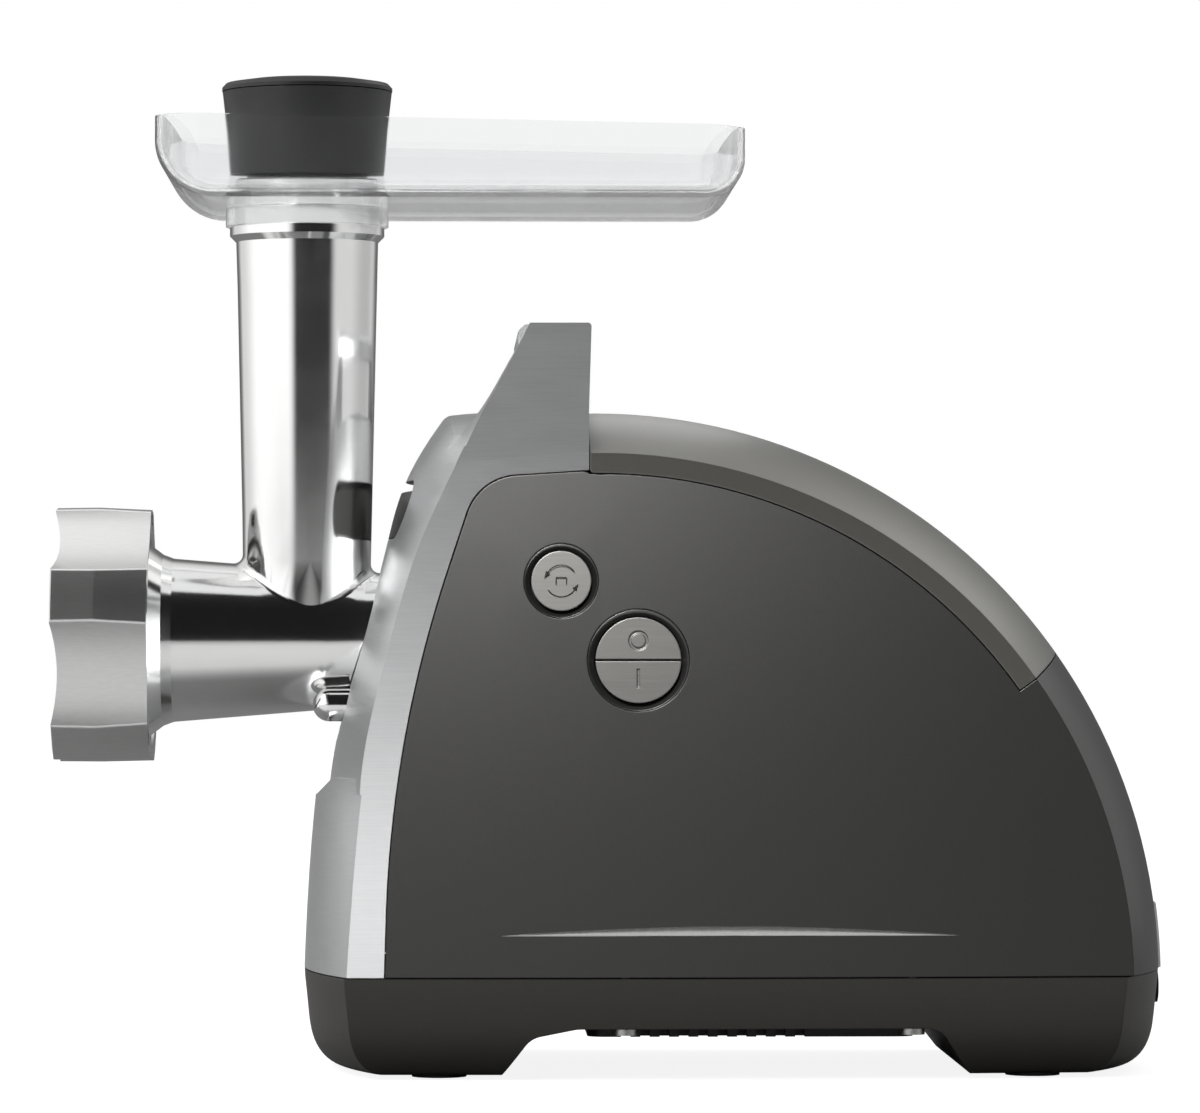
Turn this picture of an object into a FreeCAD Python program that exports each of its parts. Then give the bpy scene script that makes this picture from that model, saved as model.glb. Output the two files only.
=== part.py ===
import FreeCAD, Part
import math
import os

# Electric meat grinder: a quarter-round motor base with a metal front frame and carrying handle,
# a cast grinding head with feed tube, a clear hopper tray and a pusher.
#
# Frame: +Z up, origin on the floor under the centre of the overall box. The grinding head points
# along -X, the rear of the base points along +X, and the three buttons are on the -Y side.
# All lengths are millimetres.

V = FreeCAD.Vector
os.makedirs("parts", exist_ok=True)

# ---- driving dimensions ---------------------------------------------------------------------
AXIS_Z = 143.5            # height of the auger's axis
BODY_X, BODY_Z = -4.0, 30.0   # centre of the quarter-round body
BODY_R = 190.5            # radius of the round top and back, at the middle of the width
HALF_WIDTH = 84.0         # half the body's width at its centre
DOME_R = 1870.0           # the sides are this slightly domed
WALL = 2.6                # moulded wall
SEAM_Z = 33.0             # base tub below, shells above
GAP = 0.4                 # joint line between two mouldings
LID_R = 168.2             # the lid's lower edge on the sides
LID_BACK = 35.3           # degrees above the horizontal where the lid ends at the back
LID_FRONT_X = -7.6        # the lid's front edge
HINGE_X, HINGE_Z = -4.0, 213.5   # the lid's hinge pins
CREASE_Y = ((DOME_R**2 - BODY_R**2 - (DOME_R - HALF_WIDTH)**2)
            / (2 * (DOME_R - HALF_WIDTH)))   # half width at the edge of the round top

FEED_X = -102.0           # feed tube's axis
FEED_TOP = 298.0
TRAY_FLOOR = 290.0
TRAY_RIM_FRONT, TRAY_RIM_REAR = 317.4, 313.6   # the rim falls a little towards the rear
RING_FRONT, RING_BACK = -187.2, -154.5
PLATE_R = 31.0
FLUTE_R = 60.0            # radius of the flutes between the ring nut's lobes

MOTOR_Z = 80.0            # motor shaft's height
STAGE1 = (10, 70, 1.0)    # pinion teeth, wheel teeth, module
STAGE2 = (12, 48, 1.5)


# ---- small helpers --------------------------------------------------------------------------
def box(x0, x1, y0, y1, z0, z1):
    return Part.makeBox(x1 - x0, y1 - y0, z1 - z0, V(x0, y0, z0))


def rod(axis, start, end, radius, a, b):
    """A cylinder along an axis; a and b are its other two coordinates, in X, Y, Z order."""
    at, along = {
        "x": (V(start, a, b), V(1, 0, 0)),
        "y": (V(a, start, b), V(0, 1, 0)),
        "z": (V(a, b, start), V(0, 0, 1)),
    }[axis]
    return Part.makeCylinder(radius, end - start, at, along)


def tube(axis, start, end, outer, inner, a, b):
    return rod(axis, start, end, outer, a, b).cut(rod(axis, start - 1, end + 1, inner, a, b))


def place(plane, u, v, w):
    return {"xz": V(u, w, v), "xy": V(u, v, w), "yz": V(w, u, v)}[plane]


def rounded_wire(corners, plane, w):
    """A closed outline through corners (u, v, radius), with each corner rounded to its radius."""
    starts, ends, mids = [], [], []
    count = len(corners)
    for i, (u, v, radius) in enumerate(corners):
        here = V(u, v, 0)
        before = V(*corners[i - 1][:2], 0)
        after = V(*corners[(i + 1) % count][:2], 0)
        to_before = (before - here).normalize()
        to_after = (after - here).normalize()
        half = to_before.getAngle(to_after) / 2
        if radius <= 0 or abs(half - math.pi / 2) < 1e-6:
            starts.append(here)
            ends.append(here)
            mids.append(None)
            continue
        reach = radius / math.tan(half)
        bisector = (to_before + to_after).normalize()
        centre = here + bisector * (radius / math.sin(half))
        starts.append(here + to_before * reach)
        ends.append(here + to_after * reach)
        mids.append(centre - bisector * radius)
    edges = []
    for i in range(count):
        a, b = starts[i], ends[i]
        if mids[i] is not None:
            m = mids[i]
            edges.append(Part.Arc(place(plane, a.x, a.y, w), place(plane, m.x, m.y, w),
                                  place(plane, b.x, b.y, w)).toShape())
        nxt = starts[(i + 1) % count]
        if b.distanceToPoint(nxt) > 1e-6:
            edges.append(Part.makeLine(place(plane, b.x, b.y, w), place(plane, nxt.x, nxt.y, w)))
    return Part.Wire(edges)


def prism(corners, plane, w0, w1):
    """The rounded outline's solid between two offsets along the plane's normal."""
    face = Part.Face(rounded_wire(corners, plane, w0))
    along = {"xz": V(0, 1, 0), "xy": V(0, 0, 1), "yz": V(1, 0, 0)}[plane]
    return face.extrude(along * (w1 - w0))


def turned(points, x_axis_z=AXIS_Z):
    """A solid of revolution about the auger's axis, from (x, radius) points."""
    wire = Part.makePolygon([V(x, 0, x_axis_z - r) for x, r in points + points[:1]])
    return Part.Face(wire).revolve(V(0, 0, x_axis_z), V(1, 0, 0), 360)


def turned_z(points, x, y=0.0):
    """A solid of revolution about a vertical axis, from (radius, z) points."""
    wire = Part.makePolygon([V(x + r, y, z) for r, z in points + points[:1]])
    return Part.Face(wire).revolve(V(x, y, 0), V(0, 0, 1), 360)


def join(shapes):
    first, rest = shapes[0], list(shapes[1:])
    return first.fuse(rest).removeSplitter() if rest else first


def carve(shape, tools):
    return shape.cut(list(tools)) if tools else shape


def mirror_y(shape):
    return shape.mirror(V(0, 0, 0), V(0, 1, 0))


def both_sides(shape):
    return [shape, mirror_y(shape)]


def around_x(shape, degrees, y=0.0, z=AXIS_Z):
    copy = shape.copy()
    copy.rotate(V(0, y, z), V(1, 0, 0), degrees)
    return copy


def save(name, shapes):
    """Writes one node: a solid, or several separate ones."""
    solids = []
    for shape in shapes if isinstance(shapes, (list, tuple)) else [shapes]:
        solids += shape.Solids
    made = solids[0] if len(solids) == 1 else Part.makeCompound(solids)
    state = "ok" if made.isValid() and solids else "BAD"
    print(f"{name:22s} {state} solids {len(solids)} volume {sum(s.Volume for s in solids) / 1000:.2f} cm3")
    made.exportStep(f"parts/{name}.step")


# ---- the body's round volume ----------------------------------------------------------------
def dome(r):
    """Half the width at a distance r from the body's centre."""
    return HALF_WIDTH - (DOME_R - math.sqrt(DOME_R**2 - r * r))


def section_arc(p, q, s):
    return Part.Arc(*[V(BODY_X, y, BODY_Z + r) for y, r in (p, q, s)]).toShape()


def barrel(inset):
    """The round body: domed sides and a crowned rim, moved inward by inset."""
    edge_y = CREASE_Y - inset
    rim = BODY_R - inset
    edge_r = math.sqrt(rim**2 - edge_y**2)
    side = [(dome(r * edge_r / 2) - inset, r * edge_r / 2) for r in (0, 1)]
    edges = [
        section_arc((-side[0][0], 0), (-side[1][0], side[1][1]), (-edge_y, edge_r)),
        section_arc((-edge_y, edge_r), (0, rim), (edge_y, edge_r)),
        section_arc((edge_y, edge_r), side[1], side[0]),
        Part.makeLine(V(BODY_X, side[0][0], BODY_Z), V(BODY_X, -side[0][0], BODY_Z)),
    ]
    return Part.Face(Part.Wire(edges)).revolve(V(BODY_X, 0, BODY_Z), V(0, 1, 0), 360)


def flanks(inset, reach=240.0):
    """The domed sides carried on past the rim, for the frame and the handle."""
    y0, y1, y2 = (dome(r) - inset for r in (0, reach / 2, reach))
    edges = [
        section_arc((-y0, 0), (-y1, reach / 2), (-y2, reach)),
        Part.makeLine(V(BODY_X, -y2, BODY_Z + reach), V(BODY_X, y2, BODY_Z + reach)),
        section_arc((y2, reach), (y1, reach / 2), (y0, 0)),
        Part.makeLine(V(BODY_X, y0, BODY_Z), V(BODY_X, -y0, BODY_Z)),
    ]
    return Part.Face(Part.Wire(edges)).revolve(V(BODY_X, 0, BODY_Z), V(0, 1, 0), 360)


def body_wall():
    return barrel(0).cut(barrel(WALL))


def lid_sector(clear):
    """The region of the lid. A positive clear makes it larger all round."""
    back = math.radians(LID_BACK)
    far = 320.0
    step = clear / math.sin(back)
    wedge = prism([
        (LID_FRONT_X - clear, BODY_Z + 100, 0),
        (LID_FRONT_X - clear, BODY_Z + far, 0),
        (far * math.cos(back) + BODY_X + step, BODY_Z + far, 0),
        (far * math.cos(back) + BODY_X + step, BODY_Z + far * math.sin(back), 0),
        (BODY_X + step + 100 * math.cos(back), BODY_Z + 100 * math.sin(back), 0),
    ], "xz", -100, 100)
    return wedge.cut(rod("y", -101, 101, LID_R - clear, BODY_X, BODY_Z))


# ---- the outside: shells, lid, front frame, base ----------------------------------------------
def loft_levels(levels, plane_wire):
    return Part.makeLoft([plane_wire(*level) for level in levels], True, False)


def bowed_front(z, edge_x, middle_x, shift=0.0, back=60.0):
    """A level outline whose front is an arc through the side creases at edge_x and through middle_x."""
    crease = dome(min(math.hypot(edge_x - BODY_X, z - BODY_Z), 240.0))
    bow = edge_x - middle_x
    radius = (crease**2 + bow**2) / (2 * bow)
    y = 90.0
    edge = middle_x + radius - math.sqrt(radius**2 - y**2) + shift
    left, right = V(edge, -y, z), V(edge, y, z)
    arc = Part.Arc(left, V(middle_x + shift, 0, z), right).toShape()
    return Part.Wire([
        arc,
        Part.makeLine(right, V(back, y, z)),
        Part.makeLine(V(back, y, z), V(back, -y, z)),
        Part.makeLine(V(back, -y, z), left),
    ])


LOWER_FACE = [(20, -88.0, -103.2), (33, -87.2, -102.7), (62, -85.2, -101.3), (99, -81.6, -98.0)]
UPPER_FACE = [(90, -82.9, -94.6), (122, -78.4, -89.1), (149, -71.6, -81.8), (176, -63.0, -74.8),
              (203, -50.6, -65.6), (222, -41.4, -53.0), (250, -28.2, -38.0)]


def front_volume(shift):
    """Everything behind the bowed front face, moved back by shift."""
    lower = loft_levels([(z, a, b, shift) for z, a, b in LOWER_FACE], bowed_front)
    upper = loft_levels([(z, a, b, shift) for z, a, b in UPPER_FACE], bowed_front)
    slope = prism([(-130, 19, 0), (-130, 91.4, 0), (-98.6, 91.4, 0), (-92.0, 98.0, 0), (100, 98.0, 0),
                   (100, 19, 0)], "xz", -100, 100)
    return join([lower.common(slope), upper.common(box(-120, 100, -100, 100, 92.9, 251))])


def side_line(back):
    """The joint between frame and side shells, moved backward by back."""
    return [(-75.6 + back, SEAM_Z - 20, 0), (-72.9 + back, 110.4, 400), (-44.4 + back, 196.9 - back, 18),
            (LID_FRONT_X - GAP, 199.2 - back, 0)]


def frame_region():
    line = side_line(0)
    return prism(line + [(LID_FRONT_X - GAP, 217.0, 60), (-7.0, 247.8, 1.2), (-28.8, 247.8, 2),
                         (-32.0, 244.6, 1), (-31.4, 241.6, 0), (-130, 241.6, 0), (-130, 13.0, 0)],
                 "xz", -100, 100)


def shell_region():
    """Behind the frame, above the seam and outside the lid."""
    line = side_line(GAP)
    last_x, last_z, _ = line.pop()
    behind = prism(line + [(last_x, last_z, 0), (last_x, BODY_Z + LID_R - GAP + 8, 0), (260, 205, 0),
                           (260, 13, 0)], "xz", -100, 100)
    return behind.common(box(-100, 260, -100, 100, SEAM_Z + GAP, 300))


def above_hump(drop):
    """The two regions above the frame's crowned and rounded top, between the handle's legs."""
    line = prism([(-76.0 + drop, 178.0, 0), (-61.0 + drop, 217.6 - drop, 15), (-44.0, 220.4 - drop, 30),
                  (0, 221.0 - drop, 0), (0, 262, 0), (-140, 262, 0), (-140, 178, 0)], "xz", -59.0, 59.0)
    rim = BODY_R - drop
    low = math.sqrt(rim**2 - 59.0**2)
    arc = Part.Arc(V(-140, -59, BODY_Z + low), V(-140, 0, BODY_Z + rim), V(-140, 59, BODY_Z + low)).toShape()
    edges = [arc, Part.makeLine(V(-140, 59, BODY_Z + low), V(-140, 59, 262)),
             Part.makeLine(V(-140, 59, 262), V(-140, -59, 262)),
             Part.makeLine(V(-140, -59, 262), V(-140, -59, BODY_Z + low))]
    crown = Part.Face(Part.Wire(edges)).extrude(V(140, 0, 0))
    return line, crown


LOCK_Z0, LOCK_Z1, LOCK_HALF = 177.4, 197.0, 42.0
LOCK_SHELF = 193.2        # the button's flat top, below the top of its opening
LUG_Y, LUG_Z, LUG_R = -19.0, 121.8, 5.6
FOLD_LEAN = 8.0           # degrees that the handle's legs lean in


def lock_outline(grow, x0, x1):
    z0, z1, y1 = LOCK_Z0 - grow, LOCK_Z1 + grow, LOCK_HALF + grow
    r = (z1 - z0) / 2 - 0.01
    return prism([(-y1, z0, r), (y1, z0, r), (y1, z1, r), (-y1, z1, r)], "yz", x0, x1)


def lug_path(clear):
    """The curved way the head's lug takes through the front face as the head turns."""
    angle = math.degrees(math.atan2(LUG_Z - AXIS_Z, LUG_Y))
    reach = math.hypot(LUG_Y, LUG_Z - AXIS_Z)
    r = LUG_R + clear
    wire = Part.makePolygon([V(-112, reach - r, 0), V(-60, reach - r, 0), V(-60, reach + r, 0),
                             V(-112, reach + r, 0), V(-112, reach - r, 0)])
    sweep = Part.Face(wire).revolve(V(0, 0, 0), V(1, 0, 0), 45)
    ends = [rod("x", -112, -60, r, reach, 0)]
    ends.append(around_x(ends[0], 45, 0, 0))
    path = join([sweep] + ends)
    path.rotate(V(0, 0, 0), V(1, 0, 0), angle)
    path.translate(V(0, 0, AXIS_Z))
    return path


LEG_FACE = [(200, -51.6, 15.2), (208, -47.7, 13.6), (216, -43.9, 6.0), (226, -38.6, 2.4), (239, -31.6, 1.6),
            (252, -25.4, 1.6)]


def leg_front():
    """What lies in front of the near handle leg, whose front face bows much less than the body's."""
    leg = loft_levels([(z, edge, edge - bow) for z, edge, bow in LEG_FACE], bowed_front)
    return box(-120, -10, -100, -59, 207, 251).cut(leg)


def leg_fold():
    """The near leg leans in a little above a fold line that runs back and up to the lid."""
    front, rear = V(-70.0, 0, 199.5), V(0.0, 0, 206.5)
    for point in (front, rear):
        point.y = -dome(math.hypot(point.x - BODY_X, point.z - BODY_Z))
    up = V(0, 60 * math.tan(math.radians(FOLD_LEAN)), 60)
    wire = Part.makePolygon([front, rear, rear + up, front + up, front])
    return Part.Face(wire).extrude(V(0, -20, 0))


def make_frame():
    shape = front_volume(0).common(flanks(0)).common(frame_region())
    window = box(-140, -31.0, -59, 59, 160, 262).fuse(
        prism([(-50, 160, 0), (0, 160, 0), (0, 240.2, 0), (-50, 240.2, 0)], "xz", -59.0, 59.0))
    for region in above_hump(0):
        shape = shape.cut(region.common(window))
    low = prism([(-140, 12, 0), (60, 12, 0), (60, 207.6, 0), (-54, 207.6, 0), (-60, 200.4, 0),
                 (-140, 200.4, 0)], "xz", -56, 56)
    sides = box(-140, 60, -100, 100, 12, 191.0)
    hollow = front_volume(3.0).common(flanks(3.0))
    for room in (sides, low):
        shape = shape.cut(hollow.common(room))
    shape = shape.cut(box(-140, 60, -100, 100, 10, SEAM_Z + GAP))
    cuts = [rod("y", -59, 59, 11.0, HINGE_X, HINGE_Z), rod("x", -120, -50, 24.5, 0, AXIS_Z),
            lock_outline(0, -100, -40), lug_path(0.5)]
    cuts += both_sides(leg_front()) + both_sides(leg_fold())
    return carve(shape, cuts)


def make_lock_button():
    block = lock_outline(-0.5, -100, -50).common(box(-100, -50, -50, 50, 170, LOCK_SHELF))
    face = front_volume(0.0).cut(front_volume(5.0)).common(block)
    flange = front_volume(3.6).cut(front_volume(5.8)).common(lock_outline(1.6, -100, -40))
    arm = box(-69.4, -66.4, -2.9, 2.9, AXIS_Z + 19.6, 181.0)
    guide = rod("x", -69.0, -63.0, 4.0, 0, 185.0)
    return join([face, flange, arm.common(front_volume(3.6)), guide])


def make_lid():
    sector = lid_sector(0)
    corner = [e for e in sector.Edges if e.BoundBox.YLength > 150 and e.BoundBox.XMax < 0
              and e.BoundBox.ZMax < BODY_Z + LID_R + 5]
    sector = sector.makeFillet(1.2, corner)
    skin = body_wall().common(sector)
    lugs = []
    for y0 in (-14.0, 6.0):
        lugs.append(rod("y", y0, y0 + 8, 3.2, HINGE_X, HINGE_Z))
        lugs.append(box(HINGE_X - 2.4, HINGE_X + 3.2, y0, y0 + 8, HINGE_Z, 219).common(barrel(1.0)))
    return join([skin] + lugs).cut(rod("y", -20, 20, 1.56, HINGE_X, HINGE_Z))


def base_level(z, inset):
    """Plan outline of the base at one height."""
    front, rear, i = -88.0, 168.5, inset
    edge = dome(front - BODY_X) - i
    end = dome(rear - BODY_X) - i
    points = [V(front + i, -edge, z), V(-102.6 + i, 0, z), V(front + i, edge, z),
              V(40, dome(44) - i, z), V(rear - i, end, z), V(186.4 - i, 0, z),
              V(rear - i, -end, z), V(40, -dome(44) + i, z)]
    arcs = [Part.Arc(points[k], points[k + 1], points[(k + 2) % 8]).toShape() for k in (0, 2, 4, 6)]
    return Part.Wire(arcs)


FOOT_SPOTS = [(-57.0, -62.0), (-57.0, 62.0), (139.0, -58.0), (139.0, 58.0)]
SCREW_SPOTS = [(4.0, -77.6), (4.0, 77.6), (98.0, -75.2), (98.0, 75.2)]
VENT_SCREWS = [(x, y) for x in (-3.0, 95.0) for y in (-44.0, 44.0)]
BASE_LEVELS = [(1.0, 12.0), (4.0, 6.3), (9.0, 3.2), (16.0, 1.6), (25.0, 0.7), (SEAM_Z, 0.0)]


def make_base():
    outer = loft_levels(BASE_LEVELS, base_level)
    arch = prism([(-38.0, -1, 0), (-27.0, 13.5, 8), (-12.0, 16.5, 14), (107.0, 16.5, 8),
                  (113.0, 7.0, 6), (119.0, -1, 0)], "xz", -100, 100)
    inner = loft_levels([(z, i + 3.0) for z, i in ((19.5, 1.3), (26.0, 0.7), (34.0, 0.0))], base_level)
    wells = [prism([(-82, -64, 8), (-46, -64, 8), (-46, 64, 8), (-82, 64, 8)], "xy", 5.5, 20.0),
             prism([(126, -58, 8), (156, -58, 8), (156, 58, 8), (126, 58, 8)], "xy", 5.5, 20.0)]
    shape = carve(outer, [arch, inner] + wells)
    posts = [rod("z", 17.5, SEAM_Z, 5.0, x, y) for x, y in SCREW_SPOTS]
    shape = join([shape] + [p.common(outer) for p in posts])
    holes = [rod("z", 10, 40, 2.1, x, y) for x, y in SCREW_SPOTS]
    holes += [rod("z", 0, 3.2, 9.2, x, y) for x, y in FOOT_SPOTS]
    holes += [rod("z", 0, 7.0, 2.2, x, y) for x, y in FOOT_SPOTS]
    holes += [box(2, 90, -50, 50, 10, 25)]
    holes += [rod("z", 10, 25, 1.55, x, y) for x, y in VENT_SCREWS]
    holes += [rod("x", 170, 200, 4.2, 0, 26.0)]
    return carve(shape, holes)


def make_vent_plate():
    plate = prism([(-8, -56, 6), (100, -56, 6), (100, 56, 6), (-8, 56, 6)], "xy", 12.4, 16.45)
    slots = []
    for k in range(8):
        x = 6.0 + 10.2 * k
        slots.append(prism([(x, -44, 2.4), (x + 5.0, -44, 2.4), (x + 5.0, 44, 2.4), (x, 44, 2.4)],
                           "xy", 10, 18))
    ribs = [box(3, 89, y - 1.5, y + 1.5, 14.0, 16.45) for y in (-16, 16)]
    notches = [box(x, x + 3.2, *sorted((side * 50, side * 56)), 11, 15.0)
               for x in (3.0 + 6.4 * k for k in range(10)) for side in (-1, 1)]
    drilled = [rod("z", 10, 18, 1.7, x, y) for x, y in VENT_SCREWS]
    drilled += [rod("z", 12, 14.0, 3.1, x, y) for x, y in VENT_SCREWS]
    return carve(join([carve(plate, slots)] + ribs), drilled + notches)


def screw(x, y, z_head, z_tip, r_head, r_shank, up=True):
    """A pan-head screw pointing up, with a cross recess in its head."""
    head = rod("z", z_head - 2.0, z_head, r_head, x, y)
    shank = rod("z", z_head - 0.5, z_tip, r_shank, x, y)
    cross = [box(x - r_head * 0.6, x + r_head * 0.6, y - 0.35, y + 0.35, z_head - 3, z_head - 1.0),
             box(x - 0.35, x + 0.35, y - r_head * 0.6, y + r_head * 0.6, z_head - 3, z_head - 1.0)]
    return carve(join([head, shank]), cross)


def screw_y(x, z, y_head, y_tip, r_head, r_shank):
    """A screw lying across the body, its head toward -Y."""
    made = screw(0, 0, 0, y_tip - y_head, r_head, r_shank)
    made.rotate(V(0, 0, 0), V(1, 0, 0), -90)
    made.translate(V(x, y_head, z))
    return made


SEAM_SCREWS = [(BODY_X + 181.5 * math.cos(math.radians(a)), BODY_Z + 181.5 * math.sin(math.radians(a)))
               for a in (9.0, 28.0)]
REVERSE = (-17.2, 162.8)
START_STOP = (8.0, 136.9)


def make_shells():
    wall = body_wall().common(shell_region()).cut(lid_sector(GAP))
    for reach, radius in ((60, 17.2), (100, 15.9)):
        wall = wall.cut(rod("y", -reach, reach, radius, HINGE_X, HINGE_Z))
    inside = barrel(1.0).common(shell_region())
    halves = []
    for side in (-1, 1):
        keep = box(-300, 300, 0.15, 200, 0, 400) if side > 0 else box(-300, 300, -200, -0.15, 0, 400)
        parts = [wall.common(keep)]
        solids, holes = [], []
        for x, z in SEAM_SCREWS:
            solids.append(rod("y", *sorted((side * 0.15, side * 26)), 8.0, x, z).common(inside))
            holes.append(rod("y", -23, 23, 1.65 if side > 0 else 1.9, x, z))
            if side < 0:
                holes.append(rod("y", -30, -20.0, 3.6, x, z))
        for x, y in SCREW_SPOTS:
            if y * side > 0:
                solids.append(rod("z", SEAM_Z + GAP, 62, 5.0, x, y).common(inside))
                holes.append(rod("z", 20, 56, 1.65, x, y))
        shape = join(parts + solids)
        if side < 0:
            holes.append(rod("y", -100, -60, 12.3, *REVERSE))
            holes.append(rod("y", -100, -60, 16.8, *START_STOP))
        holes.append(box(180, 200, -22, 22, 31.5, 55.2))
        halves.append(carve(shape, holes))
    return halves


# ---- the grinding head ------------------------------------------------------------------------
def make_head():
    barrel_out = turned([(-156.0, 0), (-156.0, 31.0), (-153.2, 28.4), (-146.0, 27.6), (-96.0, 23.6),
                         (-82.0, 22.8), (-65.8, 22.8), (-65.8, 19.0), (-61.0, 19.0), (-61.0, 0)])
    nose = turned([(-179.0, 0), (-179.0, 33.2), (-156.0, 33.2), (-150.5, 29.0), (-147.0, 27.7), (-147.0, 0)])
    threads = [turned([(x, 33.0), (x + 0.9, 33.9), (x + 1.7, 33.0), (x + 0.9, 32.5)])
               for x in (-177.5, -174.5, -171.5, -168.5, -165.5)]
    tube_out = turned_z([(0, 150), (21.27, 150), (24.3, 288), (24.5, FEED_TOP - 0.8),
                         (23.9, FEED_TOP), (0, FEED_TOP)], FEED_X)
    bead = turned_z([(20, 278.5), (24.1, 278.5), (26.2, 280.6), (26.2, 283.4), (20, 283.4)], FEED_X)
    lug = join([rod("x", -94.0, -73.4, LUG_R, LUG_Y, LUG_Z), Part.makeSphere(LUG_R, V(-94.0, LUG_Y, LUG_Z))])
    body = join([barrel_out, nose, tube_out, lug])
    neck = [e for e in body.Edges if 150 < e.BoundBox.ZMin and e.BoundBox.ZMax < 176
            and e.BoundBox.YLength > 5 and e.BoundBox.ZLength > 5 and FEED_X - 25 < e.BoundBox.XMin
            and e.BoundBox.XMax < FEED_X + 25]
    body = body.makeFillet(3.0, neck)
    body = join([body, bead] + threads)
    bore = turned([(-180, 0), (-180, 31.2), (-172.9, 31.2), (-172.9, 26.4), (-150, 25.2), (-92, 20.8),
                   (-76, 20.8), (-76, 15.2), (-60, 15.2), (-60, 0)])
    throat = turned_z([(0, 143), (18.4, 143), (18.6, 165), (21.3, 288), (21.5, 300), (0, 300)], FEED_X)
    groove = Part.makePolygon([V(-70.2, 19.2, 0), V(-65.0, 19.2, 0), V(-65.0, 30, 0), V(-70.2, 30, 0),
                               V(-70.2, 19.2, 0)])
    groove = Part.Face(groove).revolve(V(0, 0, 0), V(1, 0, 0), 66)
    groove.rotate(V(0, 0, 0), V(1, 0, 0), 34)
    groove.translate(V(0, 0, AXIS_Z))
    pin_hole = rod("x", -176.2, -172.0, 1.5, 0.0, AXIS_Z + 28.9)
    return carve(body, [bore, throat, groove, pin_hole])


def spiral_ridge(core_radius, outer_start, outer_end, x0, x1, turns, thick):
    """A helical flight about the auger's axis, lofted from short radial blades."""
    steps = int(turns * 16)
    wires = []
    for k in range(steps + 1):
        t = k / steps
        x = x0 + (x1 - x0) * t
        outer = outer_start + (outer_end - outer_start) * t
        a = 2 * math.pi * turns * t
        c, s = math.cos(a), math.sin(a)
        wires.append(Part.makePolygon([
            V(x - thick, core_radius * c, AXIS_Z + core_radius * s),
            V(x - thick * 0.45, outer * c, AXIS_Z + outer * s),
            V(x + thick * 0.45, outer * c, AXIS_Z + outer * s),
            V(x + thick, core_radius * c, AXIS_Z + core_radius * s),
            V(x - thick, core_radius * c, AXIS_Z + core_radius * s)]))
    return Part.makeLoft(wires, True, True)


def make_auger():
    core = turned([(-170.6, 0), (-170.6, 9.0), (-166.0, 11.5), (-96.0, 9.5), (-78.0, 9.5), (-78.0, 19.8),
                   (-76.6, 19.8), (-76.6, 14.2), (-63.6, 14.2), (-63.6, 0)])
    flight = spiral_ridge(8.0, 25.0, 19.4, -165.5, -82.5, 3.6, 3.4)
    square = box(-172.6, -168.0, -4.6, 4.6, AXIS_Z - 4.6, AXIS_Z + 4.6)
    pilot = rod("x", -179.2, -172.0, 3.92, 0, AXIS_Z)
    return join([core, flight, square, pilot]).cut(box(-76.0, -60, -5.95, 5.95, AXIS_Z - 5.95, AXIS_Z + 5.95))


def make_knife():
    hub = tube("x", -172.6, -170.9, 9.0, 0.5, 0, AXIS_Z)
    blades = []
    for k in range(4):
        blade = prism([(-5.0, AXIS_Z + 6, 0), (5.0, AXIS_Z + 6, 0), (3.2, AXIS_Z + 25.4, 1.5),
                       (-3.8, AXIS_Z + 25.4, 1.5)], "yz", -172.6, -170.9)
        blades.append(around_x(blade, 45 + 90 * k))
    shape = join([hub] + blades)
    return shape.cut(box(-180, -160, -4.65, 4.65, AXIS_Z - 4.65, AXIS_Z + 4.65))


def make_plate():
    disc = rod("x", -179.2, -173.2, PLATE_R, 0, AXIS_Z)
    holes = [rod("x", -180, -172, 4.0, 0, AXIS_Z)]
    for ring, count in ((9.6, 6), (16.6, 12), (23.8, 18)):
        for k in range(count):
            a = 2 * math.pi * (k + 0.5 * (count == 12)) / count
            holes.append(rod("x", -180, -172, 2.3, ring * math.cos(a), AXIS_Z + ring * math.sin(a)))
    notch = box(-180, -172, -1.9, 1.9, AXIS_Z + 27.0, AXIS_Z + 33)
    return carve(disc, holes + [notch])


def make_ring_nut():
    """A five-lobed cap with broad, shallow flutes and a dished front; the lobes are hollow behind."""
    body = turned([(RING_FRONT, 0), (RING_FRONT, 43.6), (RING_FRONT + 1.0, 44.8), (-172.0, 45.0),
                   (RING_BACK, 44.2), (RING_BACK, 0)])
    for k in range(5):
        flute = rod("x", -195, -150, FLUTE_R, -38.0 - FLUTE_R, AXIS_Z)
        body = body.cut(around_x(flute, -(56 + 72 * k)))
    ridges = [e for e in body.Edges if e.BoundBox.XLength > 10]
    body = body.makeFillet(1.6, ridges)
    dish = turned([(-192.0, 0), (-192.0, 50.0), (-188.6, 50.0), (-184.2, 37.4), (-184.2, 0)])
    pockets = []
    for k in range(5):
        pocket = prism([(-42.6, AXIS_Z - 4.4, 2.0), (-42.6, AXIS_Z + 4.4, 2.0), (-38.6, AXIS_Z + 6.2, 1.5),
                        (-38.6, AXIS_Z - 6.2, 1.5)], "yz", -178.0, RING_BACK + 1)
        pockets.append(around_x(pocket, -(20 + 72 * k)))
    bore = turned([(-190, 0), (-190, 27.8), (-184.2, 27.8), (-183.4, 27.0), (-179.5, 27.0), (-179.5, 35.0),
                   (-176.0, 35.2), (RING_BACK - 0.8, 35.2), (RING_BACK + 1, 36.5), (RING_BACK + 1, 0)])
    return carve(body, [dish, bore] + pockets)


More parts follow.
